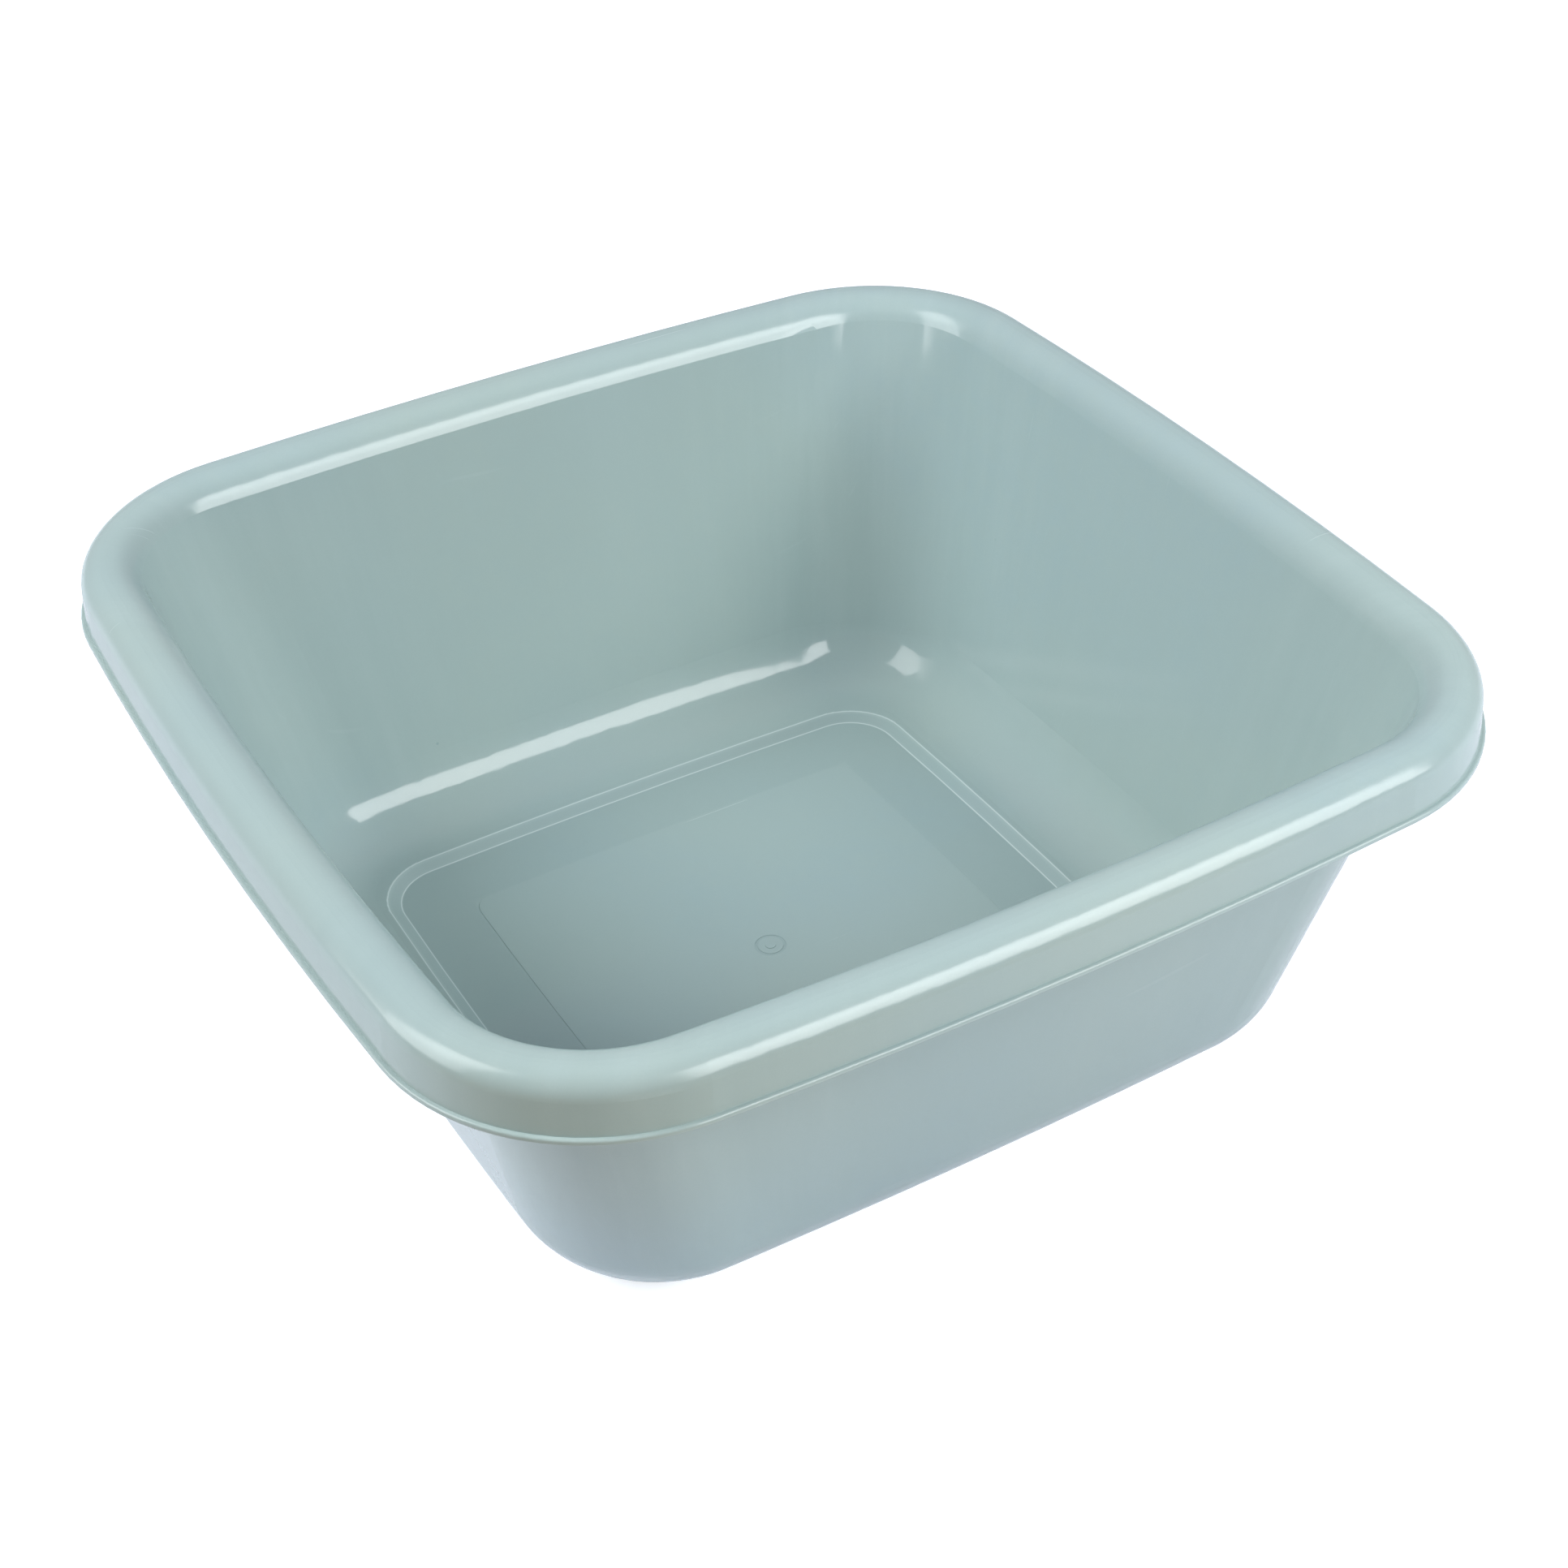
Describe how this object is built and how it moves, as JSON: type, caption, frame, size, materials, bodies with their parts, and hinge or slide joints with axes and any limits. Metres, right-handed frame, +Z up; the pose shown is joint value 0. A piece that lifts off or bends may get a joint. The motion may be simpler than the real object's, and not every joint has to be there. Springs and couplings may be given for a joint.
{
  "type": "washing up bowl",
  "caption": "Square washing up bowl moulded in one piece, with leaning walls, round corners, a rolled rim to hold it by, and a flat floor with a step.",
  "frame": {"origin": "middle of the bowl seen from above, on the plane that it stands on", "axes": "+Z up out of the bowl's mouth, X and Y straight across from the middle of one side to the middle of the opposite side"},
  "size_m": [0.32, 0.32, 0.127],
  "materials": {
    "plastic": "glossy"
  },
  "bodies": {
    "root": {"bowl": "plastic"}
  },
  "joints": []
}
